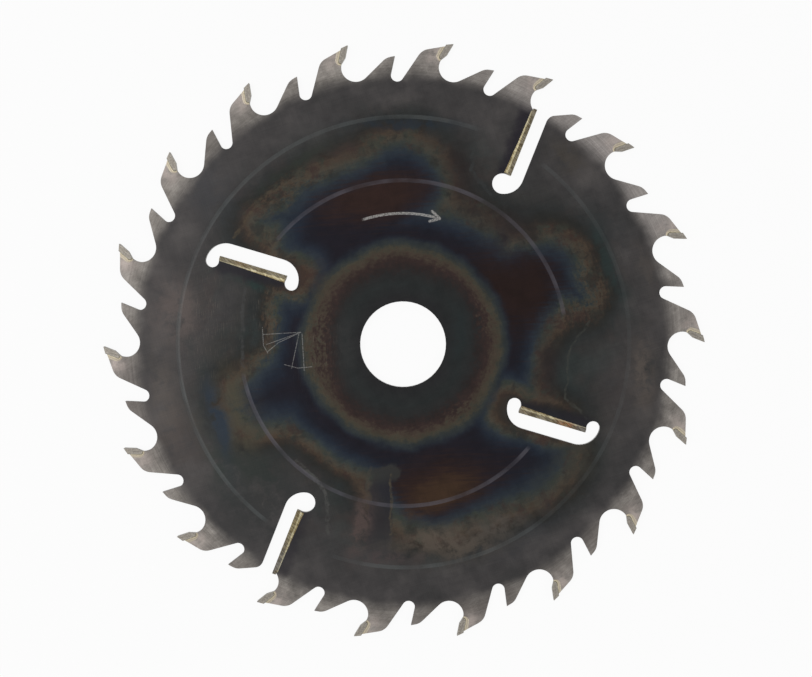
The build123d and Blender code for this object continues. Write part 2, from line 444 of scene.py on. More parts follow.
plate_material, tree, shader, place = new_material("plate_steel")
flat = vector_sum(tree, "MULTIPLY", place, (1, 1, 0))[0]
flat_reach = vector_sum(tree, "LENGTH", flat)["Value"]
on_top = smooth_step(tree, parts_of(tree, place)["Z"], plate_top - 0.35, plate_top - 0.15)

# The underside has its own pattern: the same heat, turned.
underside_turn = 1.9
turn_below = sum_of(tree, "MULTIPLY", sum_of(tree, "SUBTRACT", 1.0, on_top), underside_turn)
pattern = turned_by(tree, flat, turn_below)
warped = pattern
for grain, drift in ((24.0, 9.0), (5.0, 3.5)):
    drift_noise = add_node(tree, "ShaderNodeTexNoise", {"Vector": pattern, "Scale": 1 / grain, "Detail": 3.0})
    centred = vector_sum(tree, "SUBTRACT", drift_noise.outputs["Color"], (0.5, 0.5, 0.5))[0]
    drifted = vector_sum(tree, "MULTIPLY", centred, (drift, drift, 0))[0]
    warped = vector_sum(tree, "ADD", warped, drifted)[0]
reach = vector_sum(tree, "LENGTH", warped)["Value"]


def streak(start, end, start_radius, end_radius, where=warped):
    """How deep the steel lies in a streak of heat."""
    form = {**from_to(start, end), "Start radius": start_radius, "End radius": end_radius}
    return use(tree, heat_streak, {"Place": where, **form})["Depth"]


# The heat lies in a ring round the bore with four lobes, and it stops short of the slots.
heat_ring_radius = 83.0
depth = sum_of(tree, "MULTIPLY", sum_of(tree, "SUBTRACT", heat_ring_radius, reach), 1.6)
lobes = [
    ((-82, 71), (-30, 78), 9, 28),
    ((-38, 64), (0, 91), 41, 32),
    ((55, 22), (84, 40), 41, 26),
    ((88, 38), (103, 27), 20, 12),
    ((28, 60), (44, 52), 24, 21),
    ((18, -72), (68, -62), 44, 35),
    ((-60, -22), (-84, -32), 32, 22),
]
for lobe in lobes:
    depth = sum_of(tree, "SMOOTH_MAX", depth, streak(*lobe), 7.0)
cold_streaks = [
    ((-108, 50), (-63, 40), 10, 10),
    ((108, -50), (63, -38), 10, 10),
    ((-87, 2), (-85, 36), 8, 8),
]
for cold in cold_streaks:
    depth = sum_of(tree, "SMOOTH_MIN", depth, sum_of(tree, "MULTIPLY", streak(*cold), -1.7), 4.0)

# Speckles break up the golden edges, most of all on the left and on the right lobe.
rough_places = [((-72, 15), (22, 34)), ((106, 28), (18, 24)), ((-70, 92), (26, 14))]
rough_edges = strongest(tree, 0.12, flat, rough_places)
streaky = use(tree, ring_marks, {"Place": pattern, "Length": 5.0, "Width": 1.5})["Shade"]
fine = noise(tree, pattern, 2.6, 3.0, 0.7)
speckle = sum_of(tree, "MULTIPLY_ADD", sum_of(tree, "ADD", streaky, fine), 0.5, -0.5)
near_edge = sum_of(tree, "MULTIPLY", smooth_step(tree, depth, -10, -2), smooth_step(tree, depth, 6, 14, 1, 0))
strength = sum_of(tree, "MULTIPLY_ADD", sum_of(tree, "MULTIPLY", near_edge, rough_edges), 44.0, 6.0)
depth = sum_of(tree, "MULTIPLY_ADD", speckle, strength, depth)
temper_colours = [
    (-30, (60, 59, 59)),
    (-20, (54, 54, 53)),
    (-12, (45, 47, 47)),
    (-7, (44, 44, 42)),
    (-3, (54, 48, 43)),
    (0, (70, 60, 51)),
    (4, (70, 66, 58)),
    (8, (55, 60, 58)),
    (12, (44, 51, 58)),
    (17, (35, 41, 51)),
    (23, (31, 32, 40)),
    (30, (31, 29, 36)),
]
lobe_colour = tones_along(tree, depth, temper_colours)

# The golden edge is uneven: reddish or greenish in places, and dull in others.
in_edge = sum_of(tree, "MULTIPLY", smooth_step(tree, depth, -7, -1), smooth_step(tree, depth, 7, 12, 1, 0))
for shift, tint in (((31, 7, 0), (58, 44, 42)), ((3, 58, 0), (54, 60, 54)), ((77, 21, 0), (46, 45, 43))):
    patches = noise(tree, vector_sum(tree, "ADD", warped, shift)[0], 13.0, 4.0, 0.7)
    patches = sum_of(tree, "MULTIPLY", smooth_step(tree, patches, 0.5, 0.66, 0, 0.7), in_edge)
    lobe_colour = mix(tree, patches, lobe_colour, tone(*tint))
for form in (((34, 100), (9, 26), 12), ((62, 68), (16, 8), -20), ((84, -14), (7, 16))):
    dull = sum_of(tree, "MULTIPLY", oval(tree, flat, *form), smooth_step(tree, depth, 12, 5, 0, 0.75))
    lobe_colour = mix(tree, dull, lobe_colour, tone(47, 42, 42))

# Where it was hottest the navy has turned brown.
wiped = sum_of(tree, "SUBTRACT", ground(tree, pattern, turn=0.06, length=16.0, spacing=1.4), 0.5)
brown_stains = [
    ((-14, 86), (38, 15), 8, (48, 35, 32)),
    ((68, 34), (36, 27), -52, (40, 29, 27)),
    ((20, -84), (36, 19), 10, (45, 33, 31)),
    ((22, -86), (20, 9), 14, (62, 47, 36)),
]
for *form, colour in brown_stains:
    stain = sum_of(tree, "MULTIPLY", oval(tree, warped, *form), run_of(tree, depth, 4, 18))
    stain = sum_of(tree, "MULTIPLY_ADD", wiped, 0.9, stain)
    lobe_colour = mix(tree, smooth_step(tree, stain, 0.05, 0.95), lobe_colour, tone(*colour))

# Round the bore the same colours lie closer, over a speckled red brown on a dark hub.
in_gold = sum_of(tree, "MULTIPLY", smooth_step(tree, reach, 38, 45), smooth_step(tree, reach, 50, 60, 1, 0))
rough_places = [((-48, 0), (14, 30)), ((44, 14), (10, 12)), ((34, -40), (16, 9))]
rough_hub = strongest(tree, 0.3, flat, rough_places)
strength = sum_of(tree, "MULTIPLY_ADD", sum_of(tree, "MULTIPLY", in_gold, rough_hub), 40.0, 6.0)
hub_reach = sum_of(tree, "MULTIPLY_ADD", speckle, strength, reach)
worn_side = oval(tree, flat, middle=(-46, 2), half_sizes=(13, 34))
worn_side = sum_of(tree, "MULTIPLY", worn_side, smooth_step(tree, reach, 46, 54, 1, 0))
hub_reach = sum_of(tree, "MULTIPLY_ADD", worn_side, 4.0, hub_reach)
hub_colours = [
    (25, (41, 41, 42)),
    (36, (42, 45, 45)),
    (41, (43, 43, 43)),
    (45, (46, 40, 39)),
    (49, (54, 43, 41)),
    (53, (68, 60, 52)),
    (55.5, (66, 63, 54)),
    (58, (51, 55, 54)),
    (62, (38, 44, 52)),
    (66, (32, 34, 42)),
]
hub_colour = tones_along(tree, hub_reach, hub_colours)
heat_colour = mix(tree, smooth_step(tree, reach, 59, 65), hub_colour, lobe_colour)

# A thin film of oil and oxide tints the dark steel outside the heat, greenish here and brownish there.
film = smooth_step(tree, depth, -16, -5, 1, 0)
green_film = smooth_step(tree, noise(tree, warped, 34.0, 3.0, 0.6), 0.48, 0.66)
elsewhere = vector_sum(tree, "ADD", warped, (90, 40, 7))[0]
brown_film = smooth_step(tree, noise(tree, elsewhere, 26.0, 4.0, 0.65), 0.5, 0.7)
green_share = sum_of(tree, "MULTIPLY", sum_of(tree, "MULTIPLY", film, green_film), 0.55)
brown_share = sum_of(tree, "MULTIPLY", sum_of(tree, "MULTIPLY", film, brown_film), 0.5)
heat_colour = mix(tree, green_share, heat_colour, tone(48, 56, 55))
heat_colour = mix(tree, brown_share, heat_colour, tone(62, 54, 52))

# Outside the heat the steel grows lighter towards the rim, with faint smudges.
smudge = noise(tree, flat, 30.0, 3.0)
outside_heat = smooth_step(tree, depth, -22, -6, 1, 0)
bare = sum_of(tree, "MULTIPLY", smooth_step(tree, flat_reach, 98, 150), outside_heat)
bare_colour = ramp(tree, smudge, [(0.3, tone(60, 59, 59)), (0.5, tone(68, 66, 66)), (0.7, tone(82, 79, 78))])
heat_colour = mix(tree, bare, heat_colour, bare_colour)
mottle_stops = [(0.3, (0.82, 0.82, 0.83, 1)), (0.7, (1.18, 1.17, 1.16, 1))]
mottle = ramp(tree, noise(tree, flat, 9.0, 5.0, 0.65), mottle_stops)
heat_colour = mix(tree, 1.0, heat_colour, mottle, "MULTIPLY")

# A drip has run down from the ring and washed its colours off.
drip_wander = sum_of(tree, "SUBTRACT", noise(tree, pattern, 7.0, 4.0, 0.6), 0.5)
drip_head = streak((-15, -76), (-8, -75), 5, 6)
drip_run = streak((-13.5, -80), (-15, -119), 6, 8)
drip = sum_of(tree, "SMOOTH_MAX", drip_run, drip_head, 1.0)
drip = sum_of(tree, "MULTIPLY_ADD", drip_wander, 7.0, drip)
drip_start, drip_end = -66, -128
down = run_of(tree, parts_of(tree, warped)["Y"], drip_start, drip_end)
drip_colours = [
    (0.0, tone(56, 55, 53)),
    (0.17, tone(53, 53, 51)),
    (0.3, tone(41, 40, 45)),
    (0.6, tone(43, 43, 47)),
    (0.85, tone(56, 55, 56)),
    (1.0, tone(64, 62, 62)),
]
drip_share = smooth_step(tree, drip, -1.0, 1.6, 0, 0.85)
heat_colour = mix(tree, drip_share, heat_colour, ramp(tree, down, drip_colours))

# Washes: broad faint stains, some where the steel was wiped, some of rust.
washes = [
    ((21, -116), (25, 7.5), 5, 0.75, (90, 82, 74)),
    ((-26, -106), (6, 17), -12, 0.8, (84, 72, 69)),
    ((-9, -126), (16, 4), 0, 0.7, (76, 67, 67)),
    ((-84, -92), (32, 20), -45, 0.75, (52, 53, 53)),
    ((-99, -42), (11, 25), 12, 0.8, (72, 68, 57)),
    ((-108, -46), (6, 24), 12, 0.95, (44, 53, 63)),
    ((-114, -60), (6, 26), 22, 0.6, (50, 57, 54)),
    ((-88, -72), (20, 8), -25, 0.6, (46, 52, 50)),
    ((-131, 20), (12, 18), 10, 0.5, (98, 88, 84)),
    ((-57, 39), (10, 9), 0, 0.6, (68, 53, 46)),
    ((59, -37), (9, 8), 0, 0.4, (64, 54, 47)),
    ((97, 107), (12, 7), -40, 0.4, (76, 70, 62)),
    ((-128, -52), (14, 20), 25, 0.4, (78, 70, 67)),
    ((72, -112), (22, 7), 35, 0.35, (56, 58, 62)),
    ((26, 120), (20, 6), -12, 0.4, (52, 56, 56)),
    ((-40, 112), (24, 8), 22, 0.35, (66, 58, 55)),
    ((119, 66), (9, 16), 30, 0.35, (48, 52, 54)),
    ((124, -28), (9, 26), -12, 0.35, (60, 55, 54)),
    ((140, -18), (6, 19), 0, 0.65, (94, 86, 80)),
    ((141, 45), (5, 13), 18, 0.45, (86, 80, 76)),
    ((120, 46), (4, 26), 22, 0.6, (44, 56, 55)),
    ((2, 127), (27, 3), -2, 0.65, (40, 49, 58)),
    ((-62, 104), (26, 3.5), 34, 0.5, (47, 54, 49)),
    ((-87, 36), (10, 2.5), -15, 0.6, (40, 57, 55)),
    ((-33, 1), (6, 16), 0, 0.6, (54, 54, 54)),
    ((34, 5), (6, 17), 0, 0.5, (41, 48, 49)),
    ((102, -62), (10, 15), -30, 0.6, (57, 56, 51)),
    ((-140, -30), (7, 26), 8, 0.45, (88, 82, 77)),
    ((-112, 92), (12, 24), 40, 0.35, (62, 64, 68)),
    ((36, -122), (18, 5), 12, 0.5, (90, 82, 74)),
    ((88, -80), (26, 9), 40, 0.4, (56, 58, 54)),
    ((60, 54), (9, 12), 40, 0.45, (40, 38, 46)),
    ((55, -107), (16, 6), 22, 0.6, (84, 79, 74)),
    ((8, -98), (8, 4), 15, 0.6, (68, 52, 40)),
]
wash_edge = smooth_step(tree, noise(tree, warped, 10.0, 4.0, 0.65), 0.3, 0.62)
for *form, most, colour in washes:
    wash = ragged(tree, oval(tree, warped, *form), wash_edge, most)
    heat_colour = mix(tree, wash, heat_colour, tone(*colour))

# Fine upright scratches show pale where the blade was rubbed on its left.
rubbed_places = [((-81, 20), (7, 19)), ((-49, -4), (12, 22)), ((-113, 12), (17, 40))]
rubbed = strongest(tree, 0.0, flat, rubbed_places)
upright_marks = ground(tree, flat, turn=1.57, length=7.0, spacing=0.4)
rubbed = sum_of(tree, "MULTIPLY", rubbed, smooth_step(tree, upright_marks, 0.55, 0.75, 0, 0.5))
heat_colour = mix(tree, rubbed, heat_colour, tone(112, 104, 96))

# Specks of rust sit on the golden edges.
rust_specks = smooth_step(tree, noise(tree, flat, 1.5, 3.0, 0.7), 0.6, 0.7)
rust_specks = sum_of(tree, "MULTIPLY", rust_specks, sum_of(tree, "MULTIPLY", near_edge, rough_edges))
heat_colour = mix(tree, sum_of(tree, "MULTIPLY", rust_specks, 0.7), heat_colour, tone(44, 37, 36))

# Tide marks: where a drop dried, it left a thin pale line.
tide_marks = [
    ((-7.5, -75), (-8.5, -112), 1.6, (82, 75, 62)),
    ((-20, -72), (-22, -86), 1.4, (66, 64, 58)),
    ((-62, -68), (-50, -80), 2.4, (80, 80, 78)),
    ((-50, -80), (-45, -93), 2.4, (80, 80, 78)),
    ((-45, -93), (-45, -112), 2.2, (74, 74, 72)),
    ((108, 12), (97, -4), 1.4, (64, 65, 61)),
    ((97, -4), (94.5, -32), 1.4, (64, 65, 61)),
    ((94.5, -32), (107, -44), 1.4, (64, 65, 61)),
    ((-98, 63), (-79, 88), 1.6, (76, 68, 56)),
    ((-79, 88), (-52, 99), 1.6, (74, 67, 57)),
    ((42, 116), (41, 100), 2.0, (58, 60, 60)),
    ((41, 100), (50, 88), 2.0, (56, 58, 58)),
    ((-93, 34), (-94, -12), 2.0, (66, 66, 66)),
]
tide_shade = smooth_step(tree, noise(tree, pattern, 4.0, 3.0, 0.7), 0.3, 0.65, 0, 0.7)
for start, end, width, colour in tide_marks:
    mark = sum_of(tree, "MULTIPLY", line(tree, warped, start, end, width), tide_shade)
    heat_colour = mix(tree, mark, heat_colour, tone(*colour))

# Torch heat has darkened the steel beside the four brazed wiper strips.
strip_length = 40.5
open_slot = {"offset": 3.8, "reach": 59.8, "lean": 7.9}
closed_slot = {"offset": 12.7, "reach": 98.2, "lean": 3.0}
strip_places = [(60, open_slot), (240, open_slot), (160, closed_slot), (340, closed_slot)]
torch_shares = (0.8, 0.45, 0.6, 0.6)
beside_strip = -1.5


def slot_frame(angle, offset, reach, lean):
    """A strip's seat: its inner end, with the seat running outwards along Y and the plate at its left."""
    tooth = Matrix.Rotation(radians(angle - 90), 4, "Z")
    inner_end = Matrix.Translation((offset, blade_radius - reach, 0))
    return tooth @ inner_end @ Matrix.Rotation(radians(lean), 4, "Z")


torch_wander = sum_of(tree, "SUBTRACT", noise(tree, flat, 6.0, 3.0, 0.6), 0.5)
for (angle, slot), torch_share in zip(strip_places, torch_shares):
    seat = slot_frame(angle, **slot)
    inner = seat @ Vector((beside_strip, 1, 0))
    outer = seat @ Vector((beside_strip, strip_length - 2, 0))
    torched = streak(inner.xy, outer.xy, start_radius=2.5, end_radius=4.2, where=flat)
    torched = sum_of(tree, "MULTIPLY_ADD", torch_wander, 7.0, torched)
    torched = smooth_step(tree, torched, -4.5, 2, 0, torch_share)
    heat_colour = mix(tree, torched, heat_colour, tone(37, 34, 42))

# The ground rim beside the teeth, brighter towards their points
rim_begins = blade_radius - 21.5
rim_full = blade_radius - 11
rim_wander = sum_of(tree, "MULTIPLY", noise(tree, flat, 14.0), 6.0)
rim_reach = sum_of(tree, "ADD", flat_reach, rim_wander)
rim = smooth_step(tree, rim_reach, rim_begins, rim_full)
rim_shade = noise(tree, flat, 9.0, 4.0, 0.6)
rim_stops = [(0.3, tone(106, 102, 98)), (0.5, tone(131, 126, 121)), (0.72, tone(160, 155, 149))]
rim_colour = ramp(tree, rim_shade, rim_stops)
rim_tints = [
    ((120, 112), (85, 80), 0.6, (166, 160, 158)),
    ((-162, -30), (24, 40), 0.75, (90, 85, 83)),
    ((45, -158), (50, 20), 0.7, (96, 91, 88)),
    ((115, -115), (36, 34), 0.5, (98, 93, 90)),
    ((-112, 112), (34, 34), 0.35, (98, 93, 90)),
]
for *form, most, tint in rim_tints:
    tinted = sum_of(tree, "MULTIPLY", oval(tree, flat, *form), most)
    rim_colour = mix(tree, tinted, rim_colour, tone(*tint))
point_share = smooth_step(tree, flat_reach, blade_radius - 16, blade_radius - 2, 0, 0.35)
rim_colour = mix(tree, point_share, rim_colour, tone(172, 165, 160))

# Marks of two grinding wheels, and pits between them
wheel_marks = use(tree, ring_marks, {"Place": flat, "Length": 16.0, "Width": 0.5})["Shade"]
stone_marks = ground(tree, flat, turn=0.7, length=9.0, spacing=0.35)
pits = smooth_step(tree, noise(tree, flat, 1.3, 2.0, 0.6), 0.62, 0.72)
marks = sum_of(tree, "ADD", run_of(tree, wheel_marks, 0.3, 0.7), run_of(tree, stone_marks, 0.25, 0.75))
marks_stops = [(0.2, (0.7, 0.69, 0.68, 1)), (0.8, (1.15, 1.15, 1.15, 1))]
marks_shade = ramp(tree, sum_of(tree, "MULTIPLY", marks, 0.5), marks_stops)
rim_colour = mix(tree, 1.0, rim_colour, marks_shade, "MULTIPLY")
rim_colour = mix(tree, sum_of(tree, "MULTIPLY", pits, 0.5), rim_colour, tone(84, 78, 74))

# Behind each tip the steel was cleaned after brazing, and it is paler and a little pink.
folded = use(tree, first_tooth, {"Place": flat})["Folded"]
cleaned = smooth_step(tree, noise(tree, flat, 5.0, 3.0), 0.3, 0.6, 0, 0.6)
behind_tip = oval(tree, folded, middle=(168.5, 9.5), half_sizes=(6.0, 4.5), turn=-20)
cleaned = sum_of(tree, "MULTIPLY", behind_tip, cleaned)
rim_colour = mix(tree, cleaned, rim_colour, tone(186, 173, 166))
colour = mix(tree, rim, heat_colour, rim_colour)

# Roller tracks, each in two arcs opposite each other. They are paler than the plate beside them: partly steel
# burnished by the rollers, partly a painted highlight for the light that their slopes catch.
track_width = 2.3
# How pale each track is: its burnish together with a painted highlight, uneven along the track.
track_noise = noise(tree, flat, 22.0, 3.0)
inner_wear_and_sheen = smooth_step(tree, track_noise, 0.35, 0.65, 0.15, 0.5)
outer_wear_and_sheen = smooth_step(tree, track_noise, 0.35, 0.65, 0.15, 0.42)
faded = smooth_step(tree, parts_of(tree, flat)["X"], 60, 130, 1.0, 0.4)
outer_wear_and_sheen = sum_of(tree, "MULTIPLY", outer_wear_and_sheen, faded)
track_groove = 0.0
for radius, middle_angle, half_angle, track_wear_and_sheen, track_colour in (
    (95.0, 75.2, 64.7, inner_wear_and_sheen, (92, 90, 97)),
    (131.5, 151.2, 80.2, outer_wear_and_sheen, (88, 92, 92)),
):
    band = {"Place": flat, "Radius": radius, "Width": track_width, "Half angle": radians(half_angle)}
    for half_turn in (0, 180):
        band["Middle angle"] = radians(middle_angle + half_turn)
        rolled = use(tree, arc_band, band)["Mask"]
        track_groove = sum_of(tree, "MAXIMUM", track_groove, rolled)
        colour = mix(tree, sum_of(tree, "MULTIPLY", rolled, track_wear_and_sheen), colour, tone(*track_colour))

# An arrow for the turning direction and a figure of the tooth's angles, burnt into the upper face by laser
arrow_radius = 76.0
arrow_width = 1.5
arrow_start, arrow_end = radians(107), radians(75)
arrow_form = {"Place": flat, "Radius": arrow_radius, "Width": arrow_width}
arrow_form["Middle angle"] = (arrow_start + arrow_end) / 2
arrow_form["Half angle"] = (arrow_start - arrow_end) / 2
arrow = use(tree, arc_band, arrow_form)["Mask"]
point_ahead = 0.03
arrow_point = Matrix.Rotation(arrow_end - point_ahead, 3, "Z") @ Vector((arrow_radius, 0, 0))
barb_length = 6.0
barb_spread = 0.52
for spread in (-barb_spread, barb_spread):
    barb = Matrix.Rotation(arrow_end + pi / 2 + spread, 3, "Z") @ Vector((barb_length, 0, 0))
    barb_end = arrow_point + barb
    arrow = sum_of(tree, "MAXIMUM", arrow, line(tree, flat, arrow_point.xy, barb_end.xy, arrow_width))
figure = 0.0
figure_width = 0.42
figure_lines = [
    ((-59.5, 7.5), (-81.7, 6.4)),
    ((-59.5, 7.5), (-79.7, 0.5)),
    ((-59.5, 7.5), (-72.6, 1.6)),
    ((-72.6, 1.6), (-79.0, -3.6)),
    ((-81.9, 10.5), (-81.4, 0.0)),
    ((-81.4, 0.0), (-79.0, -4.4)),
    ((-60.5, 7.2), (-65.1, -13.4)),
    ((-58.8, 6.6), (-57.8, -14.8)),
    ((-69.3, -11.3), (-61.6, -13.4)),
    ((-61.6, -13.4), (-53.3, -12.7)),
]
for start, end in figure_lines:
    figure = sum_of(tree, "MAXIMUM", figure, line(tree, flat, start, end, figure_width))
burn = smooth_step(tree, noise(tree, flat, 0.8, 2.0), 0.25, 0.6)
arrow_strength, figure_strength = 0.75, 0.38
arrow = sum_of(tree, "MULTIPLY", arrow, arrow_strength)
figure = sum_of(tree, "MULTIPLY", figure, figure_strength)
etched = sum_of(tree, "MAXIMUM", arrow, figure)
etched = sum_of(tree, "MULTIPLY", sum_of(tree, "MULTIPLY", etched, burn), on_top)
colour = mix(tree, etched, colour, tone(168, 166, 163))

# Fine scratches all over, and bare ground steel on the walls of the rim, the bore and the slots
scratches = ground(tree, pattern, turn=0.3, length=22.0, spacing=0.5)
cross_scratches = ground(tree, pattern, turn=1.9, length=17.0, spacing=0.45)
scratches = sum_of(tree, "MULTIPLY", sum_of(tree, "ADD", scratches, cross_scratches), 0.5)
scratch_shade = ramp(tree, scratches, [(0.35, (0.9, 0.9, 0.9, 1)), (0.65, (1.1, 1.1, 1.1, 1))])
colour = mix(tree, 1.0, colour, scratch_shade, "MULTIPLY")
facing = parts_of(tree, add_node(tree, "ShaderNodeTexCoord").outputs["Normal"])
wall = smooth_step(tree, sum_of(tree, "ABSOLUTE", facing["Z"]), 0.3, 0.6, 1, 0)
upright = add_node(tree, "ShaderNodeMapping", {"Vector": place, "Scale": (0.12, 0.12, 3.0)})
wall_shade = noise(tree, upright.outputs[0], 1.0, 3.0, 0.6)
wall_colour = ramp(tree, wall_shade, [(0.3, tone(84, 81, 79)), (0.7, tone(128, 124, 120))])
colour = mix(tree, wall, colour, wall_colour)
rough = smooth_step(tree, rim_shade, 0.2, 0.8, 0.38, 0.52)
give_surface(tree, shader, colour, metallic=0.85, roughness=rough)

# The scratches and wheel marks can be felt, and the tracks and the burnt lines lie a little deeper.
felt = sum_of(tree, "MULTIPLY_ADD", sum_of(tree, "MULTIPLY", marks, rim), 0.5, scratches)
felt = sum_of(tree, "SUBTRACT", felt, sum_of(tree, "MULTIPLY", track_groove, 0.8))
felt = sum_of(tree, "SUBTRACT", felt, sum_of(tree, "MULTIPLY", etched, 0.6))
give_relief(tree, shader, felt, depth=0.02)
cover(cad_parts["plate"], plate_material)

# Carbide tips
# Each tip is a plate of tungsten carbide, pressed and sintered, brazed into its seat and then
# ground on its top and sides, so that it is widest at its cutting edge.
carbide_material, tree, shader, place = new_material("carbide")
folded = use(tree, first_tooth, {"Place": place})["Folded"]
tip_marks = ground(tree, folded, turn=-0.38, length=6.0, spacing=0.4)
fine_marks = ground(tree, folded, turn=0.9, length=2.5, spacing=0.09)
grain_shade = noise(tree, place, 0.9, 4.0, 0.6)
carbide_shade = sum_of(tree, "ADD", sum_of(tree, "ADD", grain_shade, tip_marks), fine_marks)
carbide_shade = sum_of(tree, "DIVIDE", carbide_shade, 3.0)
carbide_stops = [(0.4, tone(120, 114, 108)), (0.51, tone(150, 144, 135)), (0.62, tone(186, 180, 168))]
colour = ramp(tree, carbide_shade, carbide_stops)
give_surface(tree, shader, colour, metallic=0.8, roughness=0.42)
give_relief(tree, shader, carbide_shade, depth=0.03)
for name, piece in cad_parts.items():
    if name.startswith("tooth_tip"):
        cover(piece, carbide_material)

# Wiper strips
# Four long narrow strips of the same carbide clean the sides of the cut, one along a wall of each slot.
# They were brazed in and left as the torch browned them, with olive and straw tints in bands across them.

# Stains of the torch: the strip's number, the place along it, half the length, the strength and the colour
torch_stains = [
    (0, 39, 5, 0.5, (122, 114, 102)),
    (1, 35, 11, 0.95, (116, 112, 106)),
    (1, 8, 9, 0.4, (138, 124, 84)),
    (2, 27, 5, 0.6, (104, 86, 60)),
    (2, 38, 6, 0.7, (122, 115, 98)),
    (3, 38.5, 7, 0.95, (110, 106, 100)),
    (3, 28.5, 4.5, 0.75, (150, 98, 62)),
    (3, 3, 5, 0.5, (124, 112, 98)),
]
strip_tints, given = effect(
    "Strip tints",
    {"Place": ORIGIN, "Colour": ("NodeSocketColor", (0.2, 0.2, 0.2, 1))},
    {"Colour": "NodeSocketColor"},
)
tinted = given["Colour"]
where = given["Place"]
half_width = 5
stain_edge = smooth_step(strip_tints, noise(strip_tints, where, 2.5, 3.0, 0.6), 0.25, 0.6)
for number, along, half_length, most, colour in torch_stains:
    seat_angle, slot = strip_places[number]
    middle = slot_frame(seat_angle, **slot) @ Vector((0, along, 0))
    turn = seat_angle - 90 + slot["lean"]
    stain = oval(strip_tints, where, middle.xy, (half_width, half_length), turn)
    tinted = mix(strip_tints, ragged(strip_tints, stain, stain_edge, most), tinted, tone(*colour))
hatch = ground(strip_tints, where, turn=-0.8, length=5.0, spacing=0.62)
hatch_shade = ramp(strip_tints, hatch, [(0.42, (0.57, 0.55, 0.51, 1)), (0.56, (1.24, 1.24, 1.24, 1))])
give(strip_tints, Colour=mix(strip_tints, 1.0, tinted, hatch_shade, "MULTIPLY"))

strip_material, tree, shader, place = new_material("carbide_strip")
strip_stain = noise(tree, place, 3.5, 4.0, 0.65)
strip_colours = [
    (0.34, tone(92, 82, 64)),
    (0.46, tone(118, 109, 88)),
    (0.55, tone(130, 124, 110)),
    (0.68, tone(138, 126, 92)),
]
colour = use(tree, strip_tints, {"Place": place, "Colour": ramp(tree, strip_stain, strip_colours)})["Colour"]
give_surface(tree, shader, colour, metallic=0.8, roughness=0.45)
give_relief(tree, shader, strip_stain, depth=0.12)
for name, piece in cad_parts.items():
    if name.startswith("wiper_") and "braze" not in name:
        cover(piece, strip_material)

# Braze films
# Silver solder fills the thin gap between each carbide piece and its seat in the steel.
# It stands a little proud of the plate, where it was squeezed out.
braze_material, tree, shader, place = new_material("braze")
braze_shade = noise(tree, place, 0.8, 4.0, 0.6)
braze_stops = [(0.3, tone(128, 114, 96)), (0.5, tone(158, 148, 122)), (0.7, tone(184, 176, 150))]
colour = ramp(tree, braze_shade, braze_stops)
give_surface(tree, shader, colour, metallic=0.85, roughness=0.45)
give_relief(tree, shader, braze_shade, depth=0.06)
for name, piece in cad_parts.items():
    if "braze" in name:
        cover(piece, braze_material)

# Braze fillets behind the tips
# Solder has run out of each joint and set in a fillet along the tip's back and round its foot.
# It is highest against the carbide and thin on the plate, and it was ground flush with the tooth's top.

# Each is drawn in millimetres, with the tip's back on x = 0, its foot on y = 0 and the plate on the left.
carbide_top = 1.62
tip_hook = radians(21.6)
tip_length = 11.2
tip_thickness = 3.4
tip_foot_corner = 1.25
foot_front = 1.8
land_end = 7.66
land_slope = radians(40.2)
fillet_width = 1.3
fillet_start = land_end + 1.2
fillet_widening = (1.12, 1.12, 1.1, 1.06, 1.04, 0.98)
fillet_step = (fillet_start - tip_foot_corner) / len(fillet_widening)


def choose_vertices(piece, chosen):
    """In edit mode, selects the vertices whose place passes the test, and nothing else."""
    bpy.ops.mesh.select_all(action="DESELECT")
    form = bmesh.from_edit_mesh(piece.data)
    for vertex in form.verts:
        vertex.select = chosen(vertex.co)
    form.select_flush(True)
    bmesh.update_edit_mesh(piece.data)


def bead_section(name, y, width, inside=0.3, crest=carbide_top):
    """An upright section of solder, from inside the carbide to its toe on the plate, open in edit mode."""
    sunk = 0.25
    toe_sunk = 0.03
    swell = 0.04
    tall = crest - plate_top + sunk
    bpy.ops.object.select_all(action="DESELECT")
    middle = ((inside - width) / 2, y, crest - tall / 2)
    bpy.ops.mesh.primitive_plane_add(size=1, location=middle, rotation=(pi / 2, 0, 0))
    piece = bpy.context.active_object
    piece.name = name
    piece.scale = (width + inside, tall, 1)
    bpy.ops.object.transform_apply(location=True, rotation=True, scale=True)
    bpy.ops.object.mode_set(mode="EDIT")
    choose_vertices(piece, lambda place: place.z > plate_top and place.x < 0)
    bpy.ops.transform.translate(value=(0, 0, plate_top - toe_sunk - crest))
    choose_vertices(piece, lambda place: place.z > plate_top - 0.1)
    bpy.ops.mesh.subdivide(number_cuts=3)
    choose_vertices(piece, lambda place: -0.7 * width < place.x < -0.3 * width and place.z > plate_top)
    bpy.ops.transform.translate(value=(0, 0, swell))
    bpy.ops.mesh.select_all(action="SELECT")
    return piece


def pull(y, widen=1.0):
    """Extrudes the selected section to the next place down the joint, and widens it."""
    held_at = 0.15
    bpy.ops.mesh.extrude_region_move(TRANSFORM_OT_translate={"value": (0, y, 0)})
    bpy.ops.transform.resize(value=(widen, 1, 1), center_override=(held_at, 0, 0))


